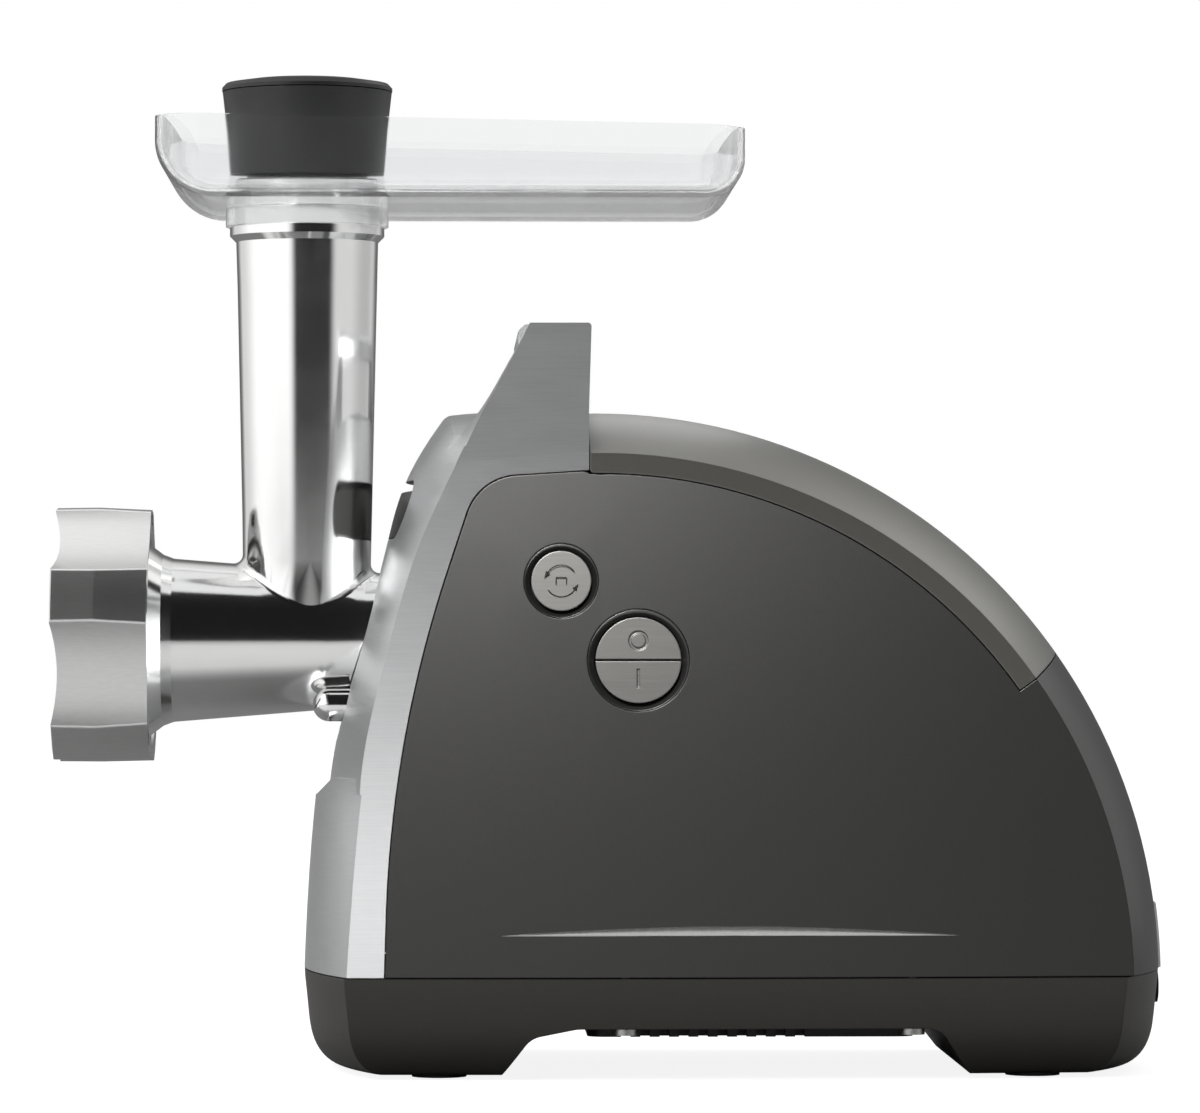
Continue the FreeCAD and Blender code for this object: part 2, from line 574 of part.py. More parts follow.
# ---- hopper tray and pusher --------------------------------------------------------------------
def tray_outline(inset, raise_floor):
    x0, x1 = -151.5 + inset, 44.6 - inset
    return [(x0, TRAY_RIM_FRONT, 0), (x0, TRAY_FLOOR + raise_floor, max(20.0 - inset, 1)),
            (x1, TRAY_FLOOR + raise_floor, max(14.0 - inset, 1)), (x1, TRAY_RIM_REAR, 0)]


def tray_block(inset, raise_floor):
    side = prism(tray_outline(inset, raise_floor), "xz", -64.0 + inset, 64.0 - inset)
    r = 18.0 - inset
    plan = prism([(-151.5 + inset, -64.0 + inset, r), (44.6 - inset, -64.0 + inset, r),
                  (44.6 - inset, 64.0 - inset, r), (-151.5 + inset, 64.0 - inset, r)],
                 "xy", TRAY_FLOOR - 5, TRAY_RIM_FRONT + 5)
    return side.common(plan)


def make_tray():
    outer = tray_block(0, 0)
    long_edges = [e for e in outer.Edges if e.BoundBox.ZMax < TRAY_FLOOR + 0.1 and e.BoundBox.XLength > 100]
    outer = outer.makeFillet(7.0, long_edges)
    inner = tray_block(2.4, 2.4)
    long_edges = [e for e in inner.Edges if e.BoundBox.ZMax < TRAY_FLOOR + 2.5 and e.BoundBox.XLength > 100]
    inner = inner.makeFillet(5.0, long_edges)
    inner = join([inner, inner.translated(V(0, 0, 3))])
    collar = rod("z", 283.8, TRAY_FLOOR + 1, 27.6, FEED_X, 0)
    return carve(join([outer.cut(inner), collar]), [rod("z", 270, 300, 24.9, FEED_X, 0)])


def make_pusher():
    """Stem and flared grip of the pusher, and its domed cap."""
    grip = turned_z([(0, 176), (16.6, 176), (17.6, 178), (18.6, 230), (20.4, 297), (20.4, 300), (26.0, 300.3),
                     (26.4, 305), (27.2, 316), (28.2, 325), (28.7, 329.5), (0, 329.5)], FEED_X)
    well = turned_z([(0, 186), (13.5, 186), (16.0, 240), (17.0, 296), (19.5, 306), (22.0, 326.5),
                     (22.0, 331), (0, 331)], FEED_X)
    cap = turned_z([(0, 329.8), (28.9, 329.8), (28.9, 331.0), (27.6, 332.4), (20.0, 333.6), (0, 334.2)],
                   FEED_X)
    plug = tube("z", 326.8, 330.0, 21.8, 19.4, FEED_X, 0)
    return grip.cut(well), join([cap, plug])


# ---- drive train ------------------------------------------------------------------------------
def gear(teeth, module, x0, x1, y, z, bore, turn=0.0):
    """A spur gear with straight-flanked teeth and a little backlash."""
    pitch, root, tip = teeth * module / 2, (teeth / 2 - 1.2) * module, (teeth / 2 + 0.92) * module
    step = 2 * math.pi / teeth
    points = []
    for k in range(teeth):
        middle = k * step + turn
        for radius, part in ((root, -0.31), (pitch, -0.225), (tip, -0.115), (tip, 0.115), (pitch, 0.225),
                             (root, 0.31)):
            a = middle + part * step
            points.append(V(x0, y + radius * math.cos(a), z + radius * math.sin(a)))
    face = Part.Face(Part.makePolygon(points + points[:1]))
    blank = face.extrude(V(x1 - x0, 0, 0))
    return blank.cut(rod("x", x0 - 1, x1 + 1, bore, y, z)) if bore else blank


OFFSET_Y = 28.17
IDLER_Z = 108.4
# directions between shafts, measured from +Y towards +Z
LOW_ANGLE = math.atan2(IDLER_Z - MOTOR_Z, OFFSET_Y)
HIGH_ANGLE = math.atan2(AXIS_Z - IDLER_Z, -OFFSET_Y)


def make_gears():
    """The output gear, the idler and the motor pinion, each turned so that the teeth mesh."""
    idler_small = gear(STAGE2[0], STAGE2[2], -42.0, -20.5, OFFSET_Y, IDLER_Z, 0, HIGH_ANGLE)
    output = gear(STAGE2[1], STAGE2[2], -41.0, -26.0, 0, AXIS_Z, 0,
                  HIGH_ANGLE + math.pi + math.pi / STAGE2[1])
    output = join([output, rod("x", -43.8, -10.6, 8.0, 0, AXIS_Z)]).cut(rod("x", -50, 0, 6.02, 0, AXIS_Z))
    wheel = gear(STAGE1[1], STAGE1[2], -20.0, -12.5, OFFSET_Y, IDLER_Z, 0, LOW_ANGLE + math.pi)
    pinion = gear(STAGE1[0], STAGE1[2], -21.0, -11.5, 0, MOTOR_Z, 0, LOW_ANGLE + math.pi / STAGE1[0])
    axle = rod("x", -50, 0, 3.06, OFFSET_Y, IDLER_Z)
    return output, idler_small.cut(axle), wheel.cut(axle), pinion


CASE = [(-43, 118, 10), (-43, 170, 16), (-24, 187, 16), (24, 187, 16), (43, 172, 14), (68.5, 128, 16),
        (68.5, 84, 16), (44, 68, 12), (12, 64.5, 10), (-14, 64.5, 10), (-14, 96, 8)]


def case_block(grow, x0, x1):
    outline = rounded_wire(CASE, "yz", x0)
    if grow:
        outline = outline.makeOffset2D(grow)
    return Part.Face(outline).extrude(V(x1 - x0, 0, 0))


def make_gearbox():
    shell = case_block(0, -48.0, -10.0).cut(case_block(-3.0, -45.0, -9.0))
    bosses = [rod("x", -48.0, -10.0, 4.6, y, z) for y, z in CASE_BOLTS]
    legs = [box(x, x + 5, -8, 50, 19.6, 84) for x in (-44.0, -19.0)] + [box(-44, -14, -8, 50, 19.6, 22.6)]
    legs = [leg.cut(case_block(-1.5, -50, 0)) for leg in legs]
    case = join([shell] + [b.common(case_block(0, -48, -10)) for b in bosses] + legs)
    case = carve(case, [rod("x", -50, -44, 9.0, 0, AXIS_Z), rod("x", -46.0, -42.8, 3.1, OFFSET_Y, IDLER_Z)]
                 + [rod("x", -30, -9, 1.5, y, z) for y, z in CASE_BOLTS])
    cover = case_block(0, -9.6, -6.4)
    cover = carve(cover, [rod("x", -12, -5, 9.0, 0, AXIS_Z), rod("x", -12, -5, 8.1, 0, MOTOR_Z),
                          rod("x", -12, -5, 3.1, OFFSET_Y, IDLER_Z)]
                  + [rod("x", -12, -5, 1.8, y, z) for y, z in CASE_BOLTS])
    bolts = []
    for y, z in CASE_BOLTS:
        bolt = join([rod("x", -6.4, -4.4, 3.4, y, z), rod("x", -26.0, -6.0, 1.45, y, z)])
        bolts.append(bolt.cut(box(-5.2, -4.0, y - 2.2, y + 2.2, z - 0.4, z + 0.4)))
    return case, cover, bolts


CASE_BOLTS = [(-38.2, 166.5), (38.2, 168.0), (63.0, 78.0), (-7.0, 71.0), (-38.4, 121.5)]


def make_motor():
    """Universal motor: laminated stator, two field coils, brackets, armature and commutator."""
    square = prism([(-40, MOTOR_Z - 38, 14), (40, MOTOR_Z - 38, 14), (40, MOTOR_Z + 38, 14),
                    (-40, MOTOR_Z + 38, 14)], "yz", 24.0, 84.0)
    hole = rod("x", 20, 90, 23.6, 0, MOTOR_Z)
    slots = [prism([(s * 19.0, MOTOR_Z - 27, 2), (s * 31.0, MOTOR_Z - 27, 2), (s * 31.0, MOTOR_Z + 27, 2),
                    (s * 19.0, MOTOR_Z + 27, 2)], "yz", 20, 90) for s in (-1, 1)]
    stator = carve(square, [hole] + slots)
    coils = []
    for s in (-1, 1):
        ring = prism([(-29.4, MOTOR_Z + s * 25.6, 3), (29.4, MOTOR_Z + s * 25.6, 3),
                      (29.4, MOTOR_Z + s * 13.0, 3), (-29.4, MOTOR_Z + s * 13.0, 3)], "yz", 13.0, 95.0)
        core = box(23.4, 84.6, -25.4, 25.4, MOTOR_Z - 40, MOTOR_Z + 40)
        coil = ring.cut(core).cut(rod("x", 0, 100, 20.6, 0, MOTOR_Z))
        coils.append(coil)
    front = box(-4.0, 0.5, -37, 37, MOTOR_Z - 30, MOTOR_Z + 30)
    legs = [box(0.0, 23.8, y - 3, y + 3, MOTOR_Z + z - 4, MOTOR_Z + z + 4) for y in (-33.5, 33.5)
            for z in (-25, 25)]
    front = join([front] + legs)
    front = carve(front, [rod("x", -5, 2, 8.1, 0, MOTOR_Z)])
    rear = join([box(112.0, 116.5, -37, 37, MOTOR_Z - 30, MOTOR_Z + 30)]
                + [box(84.2, 112.5, y - 3, y + 3, MOTOR_Z + z - 4, MOTOR_Z + z + 4) for y in (-33.5, 33.5)
                   for z in (-25, 25)])
    rear = carve(rear, [rod("x", 110, 118, 8.1, 0, MOTOR_Z)])
    shaft = rod("x", -21.0, 142.0, 3.0, 0, MOTOR_Z)
    laminations = rod("x", 24.0, 84.0, 22.8, 0, MOTOR_Z)
    slots = []
    for k in range(11):
        slot = box(20, 90, 14.0, 24.0, MOTOR_Z - 1.4, MOTOR_Z + 1.4)
        slots.append(around_x(slot, 360 / 11 * k, 0, MOTOR_Z))
    armature = carve(laminations, slots + [rod("x", 20, 90, 3.0, 0, MOTOR_Z)])
    windings = tube("x", 84.2, 93.0, 19.0, 3.02, 0, MOTOR_Z)
    windings = [windings, tube("x", 15.0, 23.8, 19.0, 3.02, 0, MOTOR_Z)]
    bars = tube("x", 94.0, 108.0, 10.0, 3.02, 0, MOTOR_Z)
    cuts = [around_x(box(93, 107.0, 8.2, 11, MOTOR_Z - 0.25, MOTOR_Z + 0.25), 15 * k, 0, MOTOR_Z)
            for k in range(24)]
    commutator = carve(bars, cuts)
    hub = join([rod("x", 122.0, 136.0, 7.0, 0, MOTOR_Z), rod("x", 132.0, 134.0, 30.0, 0, MOTOR_Z)])
    blade = box(122.0, 132.2, 12.0, 30.0, MOTOR_Z - 0.8, MOTOR_Z + 0.8)
    blade.rotate(V(0, 20, MOTOR_Z), V(1, 0, 0), 28)
    fan = join([hub] + [around_x(blade, 40 * k, 0, MOTOR_Z) for k in range(9)])
    fan = fan.cut(rod("x", 120, 145, 3.0, 0, MOTOR_Z))
    return stator, coils, front, rear, shaft, armature, windings, commutator, fan


# ---- fixed inner parts, buttons and the storage bin ---------------------------------------------
def make_buttons():
    """Bezels and the three push buttons, faced to follow the domed side."""
    skin = flanks(0.2)
    back = -70.4

    def cap(x, z, radius, keep):
        disc = rod("y", -100, back, radius, x, z).common(skin)
        flange = rod("y", -72.4, back, radius + 1.8, x, z)
        stem = rod("y", back - 1, -67.0, 3.0, x, keep)
        return join([disc, flange]), stem

    bezels = []
    for (x, z), button_r, hole_r, wall_y in ((REVERSE, 9.8, 12.1, -75.5), (START_STOP, 14.0, 16.6, -76.6)):
        ring = rod("y", -100, -72.9, hole_r, x, z).common(skin)
        face = dome(math.hypot(x - BODY_X, z - BODY_Z))
        slope = (hole_r - button_r - 0.35) / 2.0
        dish = Part.makeCone(button_r + 0.35, hole_r + 1.2 * slope, 3.2, V(x, 2.2 - face, z), V(0, -1, 0))
        ring = ring.cut(dish)
        ring = join([ring, rod("y", wall_y, -72.9, hole_r + 3.2, x, z)])
        bezels.append(ring.cut(rod("y", -101, -60, button_r + 0.35, x, z)))
    x, z = REVERSE
    disc, stem = cap(x, z, 9.8, z)
    reverse = join([disc, stem])
    x, z = START_STOP
    disc, _ = cap(x, z, 14.0, z)
    halves = []
    engraving = flanks(0.2).cut(flanks(0.75))
    for sign, middle in ((1, START_STOP[1] + 6.4), (-1, START_STOP[1] - 5.9)):
        half = disc.common(box(x - 30, x + 30, -100, -60, *sorted((z + sign * 0.3, z + sign * 30))))
        half = join([half, rod("y", back - 1, -67.0, 3.0, x, z + sign * 7.0)])
        mark = tube("y", -100, -60, 3.2, 2.3, x, middle)
        if sign < 0:
            mark = box(x - 0.45, x + 0.45, -100, -60, middle - 3, middle + 3)
        halves.append(half.cut(mark.common(engraving)))
    return bezels, reverse, halves[0], halves[1]


def make_switch_block():
    block = box(-32, 27, -64.0, -58.5, 117, 177)
    posts = [rod("y", -74.5, -63, 3.0, x, z) for x, z in ((-29, 120), (24, 174), (-29, 143))]
    spots = [REVERSE, (START_STOP[0], START_STOP[1] + 7.0), (START_STOP[0], START_STOP[1] - 7.0)]
    wells = [rod("y", -65, -61, 3.6, x, z) for x, z in spots]
    return carve(join([block] + posts), wells)


def make_bin():
    """Open tray under the lid for the spare plates, with rails and hinge ears."""
    outer = box(10, 92, -54, 54, 140, 230).common(barrel(7.5))
    inner = box(12, 90, -52, 52, 142, 240)
    rails = [box(36, 84, *sorted((s * 53, s * 71)), 152, 155) for s in (-1, 1)]
    ears = []
    for y0, y1 in ((-18, -14.4), (-5.6, -2.0), (2.0, 5.6), (14.4, 18)):
        ears.append(box(HINGE_X - 1, 12, y0, y1, 204, HINGE_Z).common(barrel(7.5)))
        ears.append(rod("y", y0, y1, 3.2, HINGE_X, HINGE_Z))
    body = join([outer.cut(inner)] + rails + ears)
    return body.cut(rod("y", -19, 19, 1.5, HINGE_X, HINGE_Z))


def make_board():
    board = box(20, 96, 66.0, 67.6, 19.6, 104)
    parts = [box(26, 44, 50, 66.0, 60, 84), box(50, 58, 54, 66.0, 40, 66), rod("y", 48, 66.0, 6.0, 76, 50),
             box(62, 90, 60, 66.0, 72, 98), box(26, 44, 58, 66.0, 34, 50)]
    return join([board] + parts)


def spring_x(x0, x1, radius, wire_r, turns, y, z):
    helix = Part.makeHelix((x1 - x0) / turns, x1 - x0, radius)
    profile = Part.Wire(Part.makeCircle(wire_r, V(radius, 0, 0), V(0, 1, 0)))
    coil = Part.Wire(helix.Edges).makePipeShell([profile], True, True)
    coil.rotate(V(0, 0, 0), V(0, 1, 0), 90)
    coil.translate(V(x0, y, z))
    return coil


# ---- write every part ---------------------------------------------------------------------------
save("front_frame", make_frame())
save("storage_lid", make_lid())
right_shell, left_shell = make_shells()
save("right_shell", right_shell)
save("left_shell", left_shell)
save("seam_screws", [screw_y(x, z, -20.1, 21.0, 3.3, 1.6) for x, z in SEAM_SCREWS])
save("base_tub", make_base())
save("base_screws", [screw(x, y, 16.4, 50, 4.0, 1.6) for x, y in SCREW_SPOTS])
save("vent_plate", make_vent_plate())
save("vent_screws", [screw(x, y, 14.0, 19.3, 2.9, 1.5) for x, y in VENT_SCREWS])
save("rubber_feet", [rod("z", 0, 3.1, 9.0, x, y).cut(rod("z", -1, 1.6, 5.0, x, y)).cut(
    rod("z", 0, 4, 2.2, x, y)) for x, y in FOOT_SPOTS])
save("foot_screws", [join([rod("z", 0.4, 1.58, 3.6, x, y), rod("z", 1.5, 5.4, 2.1, x, y)]).cut(
    box(x - 4, x + 4, y - 0.4, y + 0.4, 0, 0.9)) for x, y in FOOT_SPOTS])
rear_face = barrel(-0.7).cut(barrel(3.6))
save("rear_plate", rear_face.common(box(170, 200, -21.7, 21.7, SEAM_Z + GAP, 54.9)))
save("cord_gland", join([tube("x", 176, 187.2, 4.1, 2.7, 0, 26.0), tube("x", 176, 179, 6.2, 2.7, 0, 26.0),
                         tube("x", 186.4, 187.2, 5.6, 2.7, 0, 26.0)]))

save("head_socket", turned([(-72.0, 22.88), (-72.0, 27.5), (-60.0, 27.5), (-57.0, 34.0), (-48.05, 34.0),
                            (-48.05, 31.0), (-56.4, 31.0), (-59.4, 26.0), (-59.4, 22.88)]).cut(
    box(-80, -50, -3.4, 3.4, AXIS_Z + 18, AXIS_Z + 36)))
save("lock_button", make_lock_button())
save("lock_spring", spring_x(-57.5, -48.8, 5.2, 0.5, 5, 0, 185.0))

save("head_body", make_head())
save("head_bush", tube("x", -75.6, -61.4, 15.15, 14.28, 0, AXIS_Z))
save("plate_pin", rod("x", -178.8, -172.4, 1.45, 0, AXIS_Z + 28.9))
save("auger", make_auger())
save("auger_tang", box(-75.6, -52.6, -5.85, 5.85, AXIS_Z - 5.85, AXIS_Z + 5.85))
save("cross_knife", make_knife())
save("hole_plate", make_plate())
save("ring_nut", make_ring_nut())
save("hopper_tray", make_tray())
pusher_stem, pusher_cap = make_pusher()
save("pusher_stem", pusher_stem)
save("pusher_cap", pusher_cap)

output_gear, idler_pinion, idler_wheel, motor_pinion = make_gears()
save("output_gear", output_gear)
save("output_shaft", rod("x", -52.0, -5.2, 6.0, 0, AXIS_Z))
save("drive_socket", rod("x", -59.4, -48.8, 13.0, 0, AXIS_Z).cut(
    box(-60, -52.2, -6.0, 6.0, AXIS_Z - 6.0, AXIS_Z + 6.0)).cut(rod("x", -53, -48, 6.02, 0, AXIS_Z)))
save("idler_pinion", idler_pinion)
save("idler_wheel", idler_wheel)
save("idler_pin", rod("x", -46.0, -6.6, 3.0, OFFSET_Y, IDLER_Z))
save("shaft_bushes", [tube("x", -48.0, -44.6, 8.95, 6.07, 0, AXIS_Z),
                      tube("x", -9.6, -6.4, 8.95, 6.07, 0, AXIS_Z)])
gearbox_case, gearbox_cover, gearbox_bolts = make_gearbox()
save("gearbox_case", gearbox_case)
save("gearbox_cover", gearbox_cover)
save("gearbox_bolts", gearbox_bolts)
stator, coils, bracket_front, bracket_rear, shaft, armature, windings, commutator, fan = make_motor()
save("motor_stator", stator)
save("field_coils", coils)
save("motor_bracket_front", bracket_front)
save("motor_bracket_rear", bracket_rear)
save("motor_shaft", join([shaft, motor_pinion]))
save("armature_core", armature)
save("armature_windings", windings)
save("commutator", commutator)
save("cooling_fan", fan)
save("motor_bearings", [tube("x", x0, x0 + 4.3, 8.05, 3.06, 0, MOTOR_Z) for x0 in (-3.9, 112.1)])
holders, brushes = [], []
for side in (-1, 1):
    y0, y1 = sorted((side * 12.0, side * 31.0))
    tunnel = box(98.3, 103.7, min(y0, y1) - 1, max(y0, y1) + 1, MOTOR_Z - 2.7, MOTOR_Z + 2.7)
    holders.append(box(96.5, 111.9, y0, y1, MOTOR_Z - 4.5, MOTOR_Z + 4.5).cut(tunnel))
    b0, b1 = sorted((side * 10.35, side * 24.0))
    brushes.append(box(98.5, 103.5, b0, b1, MOTOR_Z - 2.5, MOTOR_Z + 2.5))
save("brush_holders", holders)
save("carbon_brushes", brushes)
save("motor_cradle", [prism([(-62, 19.6, 0), (62, 19.6, 0), (62, 22.6, 0), (27, 22.6, 4), (23, 41.9, 0),
                             (-23, 41.9, 0), (-27, 22.6, 4), (-62, 22.6, 0)], "yz", x, x + 7)
                      for x in (27.0, 74.0)])
save("control_board", make_board())
bezels, reverse_button, stop_button, start_button = make_buttons()
save("button_bezels", bezels)
save("reverse_button", reverse_button)
save("stop_button", stop_button)
save("start_button", start_button)
save("switch_block", make_switch_block())
save("storage_bin", make_bin())
save("hinge_pins", [rod("y", y0, y0 + 16.4, 1.49, HINGE_X, HINGE_Z) for y0 in (-18.2, 1.8)])
save("spare_plates", [tube("z", z, z + 5.5, PLATE_R, 4.0, 50.0, 0) for z in (142.05, 147.6)])
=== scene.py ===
import bpy
import bmesh
import math
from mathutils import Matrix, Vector


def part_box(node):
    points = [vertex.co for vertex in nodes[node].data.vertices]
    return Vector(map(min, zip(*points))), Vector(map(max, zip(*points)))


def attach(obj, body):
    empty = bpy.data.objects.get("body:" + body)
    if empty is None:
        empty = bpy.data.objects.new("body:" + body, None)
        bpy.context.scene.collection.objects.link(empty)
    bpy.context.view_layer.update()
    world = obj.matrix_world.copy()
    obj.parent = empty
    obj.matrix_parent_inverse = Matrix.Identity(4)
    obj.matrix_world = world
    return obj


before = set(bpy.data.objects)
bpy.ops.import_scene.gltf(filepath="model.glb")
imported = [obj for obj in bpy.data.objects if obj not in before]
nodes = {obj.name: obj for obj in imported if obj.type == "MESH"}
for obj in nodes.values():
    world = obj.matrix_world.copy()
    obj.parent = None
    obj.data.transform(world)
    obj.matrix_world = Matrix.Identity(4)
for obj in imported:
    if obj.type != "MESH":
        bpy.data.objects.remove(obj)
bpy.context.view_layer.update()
scene = bpy.context.scene
scene.view_settings.view_transform = "Standard"
scene.view_settings.look = "None"

MM = 0.001

# The domed side of the body: a slice of a large sphere, centred at BODY in X and Z.
BODY = Vector((-4.0, 0.0, 30.0)) * MM
DOME_R = 1870.0 * MM
HALF_WIDTH = 84.0 * MM

# Camera: a long lens, nearly level, looking at the side with the buttons.
LENS, SENSOR = 180.0, 36.0
YAW, PITCH = 1.5, 0.870
CAMERA_X, CAMERA_DISTANCE, CAMERA_HEIGHT = -0.00245, 2.040, 0.141

# The studio's levels, by direction from the object. A reach gives where a region starts, is full, is
# last full and ends: the X part of the direction, or degrees up or round. An edge is where it starts
# and is full.
DARK_REACH_X = (-0.43, -0.28, 0.6, 0.79)
DARK_REACH_UP = (-17, -11, 72, 82)
RIGHT_REACH = (75, 110, 120, 150)
LEFT_REACH = (-130, -85, -32, -20)
FRONT_EDGE, BELOW_EDGE, TOP_EDGE, BEHIND_EDGE = (0.04, -0.04), (0.0, -0.5), (0.7, 0.95), (0.7, 0.92)
STUDIO_LEVEL, BELOW_GAIN, RIGHT_GAIN, LEFT_GAIN, TOP_GAIN = 0.95, -0.25, -0.3, 0.6, 0.5
BEHIND_CUT, DARK_CUT = -0.8, -0.985

# The floor: one tone where it is seen, and for reflections painted light ahead of the object and painted
# shade underneath it.
FLOOR_HALF, FLOOR_Z = 6.0, -0.0004
FLOOR_COLOUR, FLOOR_ROUGHNESS = (0.34, 0.34, 0.335), 0.6
FLOOR_TONE, FLOOR_GLOW = 0.34, 0.88
# The reflected floor's painted shade under the object, and how much painted light it gets ahead of it.
UNDER_PAINTED_SHADE, AHEAD_PAINTED_LIGHT = 0.2, 0.55
AHEAD_FROM, AHEAD_TO = -0.08, -0.2

# The painted highlight low on the side, a raised light strip standing in for the shine along a crease, in mm:
# where it starts, how far it runs, its height and half width.
STREAK_X, STREAK_RUN, STREAK_Z, STREAK_RISE, STREAK_HALF = -37.0, 150.0, 47.0, 1.6, 1.6
STREAK_TAPER, STREAK_THINNEST = 0.8, 0.02
STREAK_STEPS, STREAK_PROUD = 60, 0.00012   # the last in metres

# The marks on the reverse button, in metres and degrees.
MARK_LINE, MARK_PROUD, MARK_R = 0.00017, 0.00006, 0.0052
MARK_STARTS, MARK_SWEEP = (35, 215), 118
ARROW_LENGTH, ARROW_TAIL, ARROW_WIDTHS = 0.0016, 0.35, (0.00085, 0.0006, 0.00003)
BRACKET_HALF, BRACKET_DROP = 0.0017, 0.0011

# A ribbon's cross-section: steps across it in half widths, with the share of its full height at each.
# ROOT is how deep its edges are sunk in the surface below it, in metres.
RIBBON_SECTION = ((-1.0, 0.0), (-0.8, 1.0), (0.8, 1.0), (1.0, 0.0))
ROOT = 0.00005

# The grain every material has, and the rounding and bump that some have.
GRAIN_DETAIL, GRAIN_LOW, GRAIN_HIGH = 4.0, 0.3, 0.7
BEVEL_SAMPLES, BUMP_DISTANCE = 6, 0.0002


# ---- camera -----------------------------------------------------------------------------------
def add_camera():
    data = bpy.data.cameras.new("camera")
    data.lens = LENS
    data.sensor_width = SENSOR
    data.clip_end = 20.0
    cam = bpy.data.objects.new("camera", data)
    scene.collection.objects.link(cam)
    yaw = math.radians(YAW)
    cam.location = (CAMERA_X - CAMERA_DISTANCE * math.sin(yaw), -CAMERA_DISTANCE * math.cos(yaw),
                    CAMERA_HEIGHT)
    cam.rotation_euler = (math.radians(90) + math.radians(PITCH), 0.0, -yaw)
    scene.camera = cam


# ---- shader helpers ----------------------------------------------------------------------------
def math_node(tree, op, a, b=None, c=None):
    node = tree.nodes.new("ShaderNodeMath")
    node.operation = op
    for socket, value in zip(node.inputs, (a, b, c)):
        if value is None:
            continue
        if isinstance(value, (int, float)):
            socket.default_value = value
        else:
            tree.links.new(value, socket)
    return node.outputs[0]


def soft_step(tree, value, low, high):
    """0 at low, 1 at high, smooth between them. High may be the smaller number."""
    node = tree.nodes.new("ShaderNodeMapRange")
    node.interpolation_type = "SMOOTHSTEP"
    tree.links.new(value, node.inputs["Value"])
    node.inputs["From Min"].default_value = low
    node.inputs["From Max"].default_value = high
    return node.outputs["Result"]


def band(tree, value, reach):
    """1 inside a reach and 0 outside it, with soft ends."""
    start, full, last, end = reach
    return math_node(tree, "MULTIPLY", soft_step(tree, value, start, full), soft_step(tree, value, end, last))


def degree_band(tree, angle, reach):
    return band(tree, angle, [math.radians(edge) for edge in reach])


def coordinates(tree, kind):
    coord = tree.nodes.new("ShaderNodeTexCoord")
    split = tree.nodes.new("ShaderNodeSeparateXYZ")
    tree.links.new(coord.outputs[kind], split.inputs[0])
    return split.outputs


def seen_directly(tree):
    """1 for rays from the camera or through clear plastic, 0 for reflections and bounced light."""
    path = tree.nodes.new("ShaderNodeLightPath")
    return math_node(tree, "MAXIMUM", path.outputs["Is Camera Ray"], path.outputs["Is Transmission Ray"])


# ---- light and floor ---------------------------------------------------------------------------
def studio_level(tree):
    """A white studio with one large dark opening in front of the object.

    It is brighter to the left and overhead, dimmer to the right, behind and below.
    """
    x, y, z = coordinates(tree, "Generated")
    side = math_node(tree, "ARCTAN2", x, math_node(tree, "MULTIPLY", y, -1.0))
    height = math_node(tree, "ARCSINE", z)
    in_front = math_node(tree, "MULTIPLY", band(tree, x, DARK_REACH_X), soft_step(tree, y, *FRONT_EDGE))
    dark = math_node(tree, "MULTIPLY", in_front, degree_band(tree, height, DARK_REACH_UP))
    level = math_node(tree, "MULTIPLY_ADD", soft_step(tree, z, *BELOW_EDGE), BELOW_GAIN, STUDIO_LEVEL)
    for region, gain in ((degree_band(tree, side, RIGHT_REACH), RIGHT_GAIN),
                         (degree_band(tree, side, LEFT_REACH), LEFT_GAIN),
                         (soft_step(tree, z, *TOP_EDGE), TOP_GAIN)):
        level = math_node(tree, "MULTIPLY_ADD", region, gain, level)
    for region, cut in ((soft_step(tree, y, *BEHIND_EDGE), BEHIND_CUT), (dark, DARK_CUT)):
        level = math_node(tree, "MULTIPLY", level, math_node(tree, "MULTIPLY_ADD", region, cut, 1.0))
    return level


def add_world():
    world = bpy.data.worlds.new("studio")
    scene.world = world
    world.use_nodes = True
    tree = world.node_tree
    tree.nodes.clear()
    studio = tree.nodes.new("ShaderNodeBackground")
    tree.links.new(studio_level(tree), studio.inputs["Strength"])
    backdrop = tree.nodes.new("ShaderNodeBackground")
    backdrop.inputs["Strength"].default_value = 1.0
    backdrop.inputs["Color"].default_value = (1, 1, 1, 1)
    mix = tree.nodes.new("ShaderNodeMixShader")
    tree.links.new(seen_directly(tree), mix.inputs[0])
    tree.links.new(studio.outputs[0], mix.inputs[1])
    tree.links.new(backdrop.outputs[0], mix.inputs[2])
    out = tree.nodes.new("ShaderNodeOutputWorld")
    tree.links.new(mix.outputs[0], out.inputs["Surface"])


KEY_PLACE, KEY_TARGET, KEY_SIZE = (-0.9, -1.1, 1.25), (-0.05, 0, 0.15), (0.9, 0.9)
LIGHTS = [
    # name, place, target, size, power, the CAD nodes it lights (none means all)
    ("key", KEY_PLACE, KEY_TARGET, KEY_SIZE, 14.0, ()),
    ("rim", (0.9, 0.7, 1.0), (0.05, 0, 0.15), (0.8, 0.8), 2.0, ()),
    ("side_glow", (-0.35, -1.75, 1.2), (-0.05, -0.08, 0.2), (0.5, 0.5), 115.0,
     ("right_shell", "button_bezels", "reverse_button", "stop_button", "start_button")),
    ("far_glow", (-0.35, 1.75, 1.2), (-0.05, 0.08, 0.2), (0.5, 0.5), 115.0, ("left_shell",)),
    ("crown_glow", (-0.2, 1.2, 0.8), (0.03, 0, 0.22), (0.9, 0.5), 2.2, ("storage_lid",)),
    ("front_glow", (-1.2, -0.6, 0.6), (-0.1, 0, 0.15), (0.5, 0.5), 18.0, ("front_frame",)),
    ("key_shine", KEY_PLACE, KEY_TARGET, KEY_SIZE, 16.0, ("front_frame",)),
    ("frame_glow", (-0.25, -1.5, 0.04), (-0.07, -0.08, 0.09), (0.7, 0.12), 1.2, ("front_frame",)),
]


